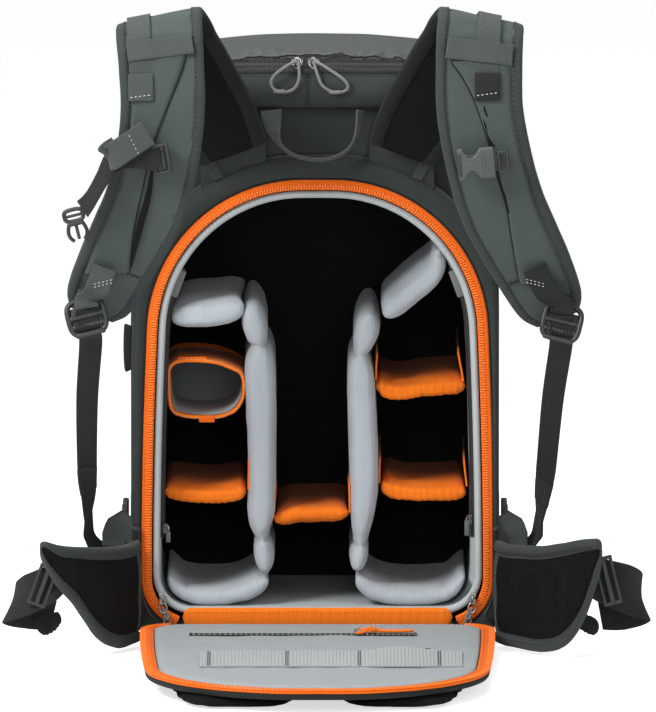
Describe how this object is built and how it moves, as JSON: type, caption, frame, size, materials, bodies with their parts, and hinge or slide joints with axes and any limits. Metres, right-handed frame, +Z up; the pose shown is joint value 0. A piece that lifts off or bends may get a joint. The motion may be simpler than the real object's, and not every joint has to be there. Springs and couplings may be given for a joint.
{
  "type": "camera backpack",
  "caption": "Camera backpack with zip-open padded back panel folded down, padded dividers, shoulder straps and waist belt.",
  "frame": {"origin": "floor level, middle of the pack's width, at the back panel's face", "axes": "+Z up, -Y towards the wearer, +X to the right when facing the open back panel"},
  "size_m": [0.5865, 0.6497, 0.5889],
  "materials": {
    "pack_fabric": "woven, slightly coated",
    "orange_padding": "padded weave",
    "lining_fabric": "brushed lining",
    "divider_velour": "brushed velour",
    "orange_divider": "smooth padded nylon",
    "orange_zip": "woven tape with coil teeth",
    "dark_zip": "woven tape with coil teeth",
    "ribbed_fabric": "ribbed weave",
    "stiffener": "sheet",
    "strap_fabric": "woven with bound edge",
    "webbing": "ribbed webbing",
    "buckle_plastic": "satin moulded",
    "light_plastic": "satin moulded",
    "back_mesh": "open mesh",
    "metal_slider": "plated",
    "orange_cord": "braided cord"
  },
  "bodies": {
    "pack": {"adjust_webs": "webbing", "back_frame_panel": "pack_fabric", "base_board": "stiffener", "body_zip_track": "orange_zip", "compartment_liner": "lining_fabric", "floor_cradles": "divider_velour", "front_pocket": "pack_fabric", "front_pocket_zip": "dark_zip", "hinge_band": "orange_padding", "outer_shell": "pack_fabric", "recess_panel": "pack_fabric", "side_buckles": "buckle_plastic", "side_tab_left": "webbing", "side_webs": "webbing", "strap_anchors": "pack_fabric", "top_zip_track": "dark_zip", "upper_back_panel": "pack_fabric", "wall_zips": "dark_zip"},
    "door": {"door_panel": "pack_fabric", "door_lining": "lining_fabric", "door_zip_track": "orange_zip", "back_pads": "back_mesh", "door_pocket_zip": "dark_zip", "elastic_loops": "lining_fabric"},
    "door_pull": {"door_pocket_slider": "orange_cord"},
    "zip_slider_left": {"main_slider_left": "metal_slider"},
    "zip_slider_right": {"main_slider_right": "metal_slider"},
    "top_pull_left": {"top_slider_left": "metal_slider"},
    "top_pull_right": {"top_slider_right": "metal_slider"},
    "lid": {"top_lid": "ribbed_fabric", "lid_zip_track": "dark_zip"},
    "handle": {"haul_handle": "webbing"},
    "strap_left": {"strap_pad_left": "strap_fabric", "load_lifter_left": "webbing", "anchor_web_left": "webbing"},
    "strap_right": {"strap_pad_right": "strap_fabric", "load_lifter_right": "webbing", "anchor_web_right": "webbing"},
    "ladder_left": {"ladder_lock_left": "buckle_plastic"},
    "ladder_right": {"ladder_lock_right": "buckle_plastic"},
    "sternum_left": {"sternum_strap_left": "webbing", "sternum_buckle_left": "buckle_plastic"},
    "sternum_right": {"sternum_buckle_right": "light_plastic"},
    "belt_left": {"belt_wing_left": "strap_fabric", "belt_web_left": "webbing"},
    "belt_right": {"belt_wing_right": "strap_fabric", "belt_web_right": "webbing"},
    "shelf_l": {"shelf_left": "orange_divider"},
    "shelf_c": {"shelf_centre": "orange_divider"},
    "shelf_ru": {"shelf_right_upper": "orange_divider"},
    "shelf_rl": {"shelf_right_lower": "orange_divider"},
    "pouch": {"small_pouch": "orange_divider"},
    "divider_l": {"divider_left_long": "divider_velour"},
    "divider_r": {"divider_right_long": "divider_velour"},
    "divider_tl": {"divider_top_left": "divider_velour"},
    "divider_tr": {"divider_top_right": "divider_velour"},
    "wall_pull_left": {"wall_slider_left": "metal_slider"},
    "wall_pull_right": {"wall_slider_right": "metal_slider"},
    "front_pull": {"front_slider": "metal_slider"}
  },
  "joints": [
    {"name": "door_hinge", "type": "hinge", "parent": "pack", "child": "door", "pos_m": [0, -0.005, 0.024], "axis": [-1, 0, 0], "range_deg": [0, 88]},
    {"name": "door_pocket_pull", "type": "slide", "parent": "door", "child": "door_pull", "axis": [1, 0, 0], "range_m": [-0.12, 0.02]},
    {"name": "main_zip_left", "type": "hinge", "parent": "pack", "child": "zip_slider_left", "pos_m": [0.7524, 0, 0.17], "axis": [0, 1, 0], "range_deg": [0, 15]},
    {"name": "main_zip_right", "type": "hinge", "parent": "pack", "child": "zip_slider_right", "pos_m": [-0.7524, 0, 0.17], "axis": [0, -1, 0], "range_deg": [0, 15]},
    {"name": "top_zip_left", "type": "slide", "parent": "pack", "child": "top_pull_left", "axis": [-1, 0, 0], "range_m": [0, 0.08]},
    {"name": "top_zip_right", "type": "slide", "parent": "pack", "child": "top_pull_right", "axis": [1, 0, 0], "range_m": [0, 0.085]},
    {"name": "lid_hinge", "type": "hinge", "parent": "pack", "child": "lid", "pos_m": [0, 0.2165, 0.5193], "axis": [-1, 0, 0], "range_deg": [0, 75]},
    {"name": "handle_swing", "type": "hinge", "parent": "pack", "child": "handle", "pos_m": [0, -0.0125, 0.484], "axis": [-1, 0, 0], "range_deg": [0, 115]},
    {"name": "strap_left_swing", "type": "hinge", "parent": "pack", "child": "strap_left", "pos_m": [-0.07, -0.014, 0.447], "axis": [-1, 0, 0], "range_deg": [0, 12]},
    {"name": "strap_right_swing", "type": "hinge", "parent": "pack", "child": "strap_right", "pos_m": [0.07, -0.014, 0.447], "axis": [-1, 0, 0], "range_deg": [0, 12]},
    {"name": "ladder_left_tilt", "type": "hinge", "parent": "strap_left", "child": "ladder_left", "pos_m": [-0.205, -0.109, 0.328], "axis": [1, 0, 0], "range_deg": [-25, 12]},
    {"name": "ladder_right_tilt", "type": "hinge", "parent": "strap_right", "child": "ladder_right", "pos_m": [0.217, -0.109, 0.323], "axis": [1, 0, 0], "range_deg": [-25, 12]},
    {"name": "sternum_left_slide", "type": "slide", "parent": "strap_left", "child": "sternum_left", "axis": [-0.1301, 0.09, -0.9874], "range_m": [-0.015, 0.02]},
    {"name": "sternum_right_slide", "type": "slide", "parent": "strap_right", "child": "sternum_right", "axis": [0.1301, 0.09, -0.9874], "range_m": [-0.015, 0.02]},
    {"name": "belt_left_swing", "type": "hinge", "parent": "pack", "child": "belt_left", "pos_m": [-0.17, -0.006, 0.05], "axis": [0, 0, -1], "range_deg": [-6, 38]},
    {"name": "belt_right_swing", "type": "hinge", "parent": "pack", "child": "belt_right", "pos_m": [0.17, -0.006, 0.05], "axis": [0, 0, 1], "range_deg": [-6, 38]},
    {"name": "shelf_left_out", "type": "slide", "parent": "pack", "child": "shelf_l", "axis": [0, 1, 0], "range_m": [-0.2, 0]},
    {"name": "shelf_centre_out", "type": "slide", "parent": "pack", "child": "shelf_c", "axis": [0, 1, 0], "range_m": [-0.2, 0]},
    {"name": "shelf_right_upper_out", "type": "slide", "parent": "pack", "child": "shelf_ru", "axis": [0, 1, 0], "range_m": [-0.2, 0]},
    {"name": "shelf_right_lower_out", "type": "slide", "parent": "pack", "child": "shelf_rl", "axis": [0, 1, 0], "range_m": [-0.2, 0]},
    {"name": "divider_left_out", "type": "slide", "parent": "pack", "child": "divider_l", "axis": [0, 1, 0], "range_m": [-0.2, 0]},
    {"name": "divider_right_out", "type": "slide", "parent": "pack", "child": "divider_r", "axis": [0, 1, 0], "range_m": [-0.2, 0]},
    {"name": "divider_top_left_out", "type": "slide", "parent": "pack", "child": "divider_tl", "axis": [0, 1, 0], "range_m": [-0.2, 0]},
    {"name": "divider_top_right_out", "type": "slide", "parent": "pack", "child": "divider_tr", "axis": [0, 1, 0], "range_m": [-0.2, 0]},
    {"name": "pouch_out", "type": "slide", "parent": "pack", "child": "pouch", "axis": [0, 1, 0], "range_m": [-0.14, 0]},
    {"name": "wall_zip_left", "type": "slide", "parent": "pack", "child": "wall_pull_left", "axis": [0.0247, 0, 0.9997], "range_m": [0, 0.17]},
    {"name": "wall_zip_right", "type": "slide", "parent": "pack", "child": "wall_pull_right", "axis": [-0.0247, 0, 0.9997], "range_m": [0, 0.16]},
    {"name": "front_zip", "type": "slide", "parent": "pack", "child": "front_pull", "axis": [1, 0, 0], "range_m": [0, 0.155]}
  ]
}
